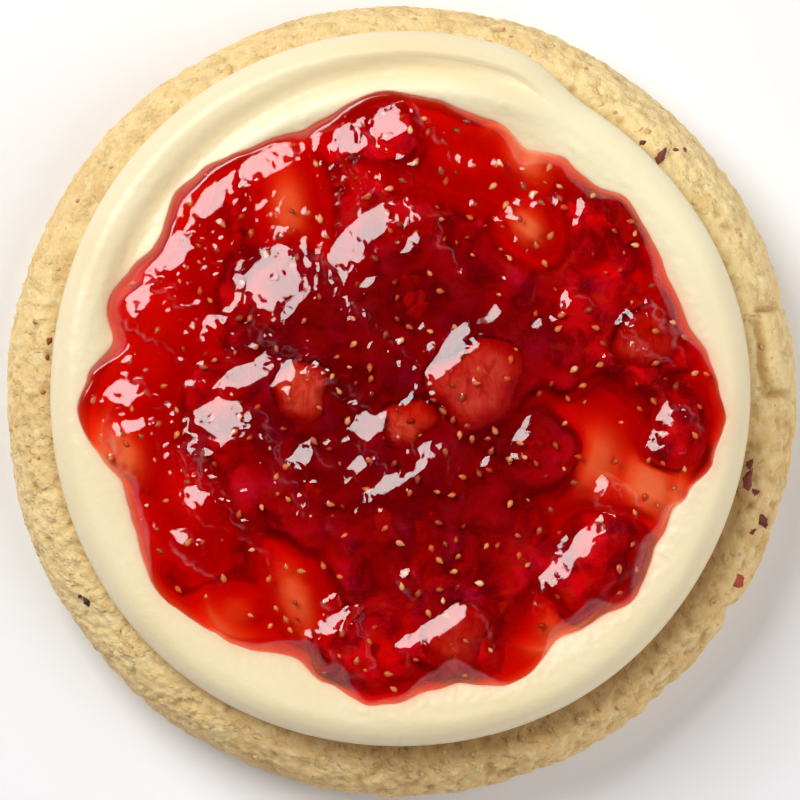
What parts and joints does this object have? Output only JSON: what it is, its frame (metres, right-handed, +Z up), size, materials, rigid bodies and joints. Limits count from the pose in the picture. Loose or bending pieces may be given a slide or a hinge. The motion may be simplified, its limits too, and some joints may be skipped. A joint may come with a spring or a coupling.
{
  "type": "strawberries and cream cookie",
  "caption": "Thick round baked cookie with a spread spiral of cream frosting and strawberry jelly with cut strawberry pieces and seeds on top.",
  "frame": {"origin": "middle of the cookie on its flat underside", "axes": "+Z up through the topping; +Y towards the end of the frosting's spiral"},
  "size_m": [0.1122, 0.112, 0.0322],
  "materials": {
    "dough": "pale baked dough with a fine grainy surface",
    "cream": "satin whipped cream cheese frosting",
    "jelly": "wet translucent strawberry jelly",
    "strawberry": "wet cooked strawberry flesh"
  },
  "bodies": {
    "root": {"cookie": "dough", "cream_frosting": "cream", "strawberry_jelly": "jelly", "strawberry_piece_01": "strawberry", "strawberry_piece_02": "strawberry", "strawberry_piece_03": "strawberry", "strawberry_piece_04": "strawberry", "strawberry_piece_05": "strawberry", "strawberry_piece_06": "strawberry", "strawberry_piece_07": "strawberry", "strawberry_piece_08": "strawberry", "strawberry_piece_09": "strawberry", "strawberry_piece_10": "strawberry", "strawberry_piece_11": "strawberry", "strawberry_piece_12": "strawberry", "strawberry_piece_13": "strawberry", "strawberry_piece_14": "strawberry", "strawberry_piece_15": "strawberry", "strawberry_piece_16": "strawberry", "strawberry_piece_17": "strawberry"}
  },
  "joints": []
}
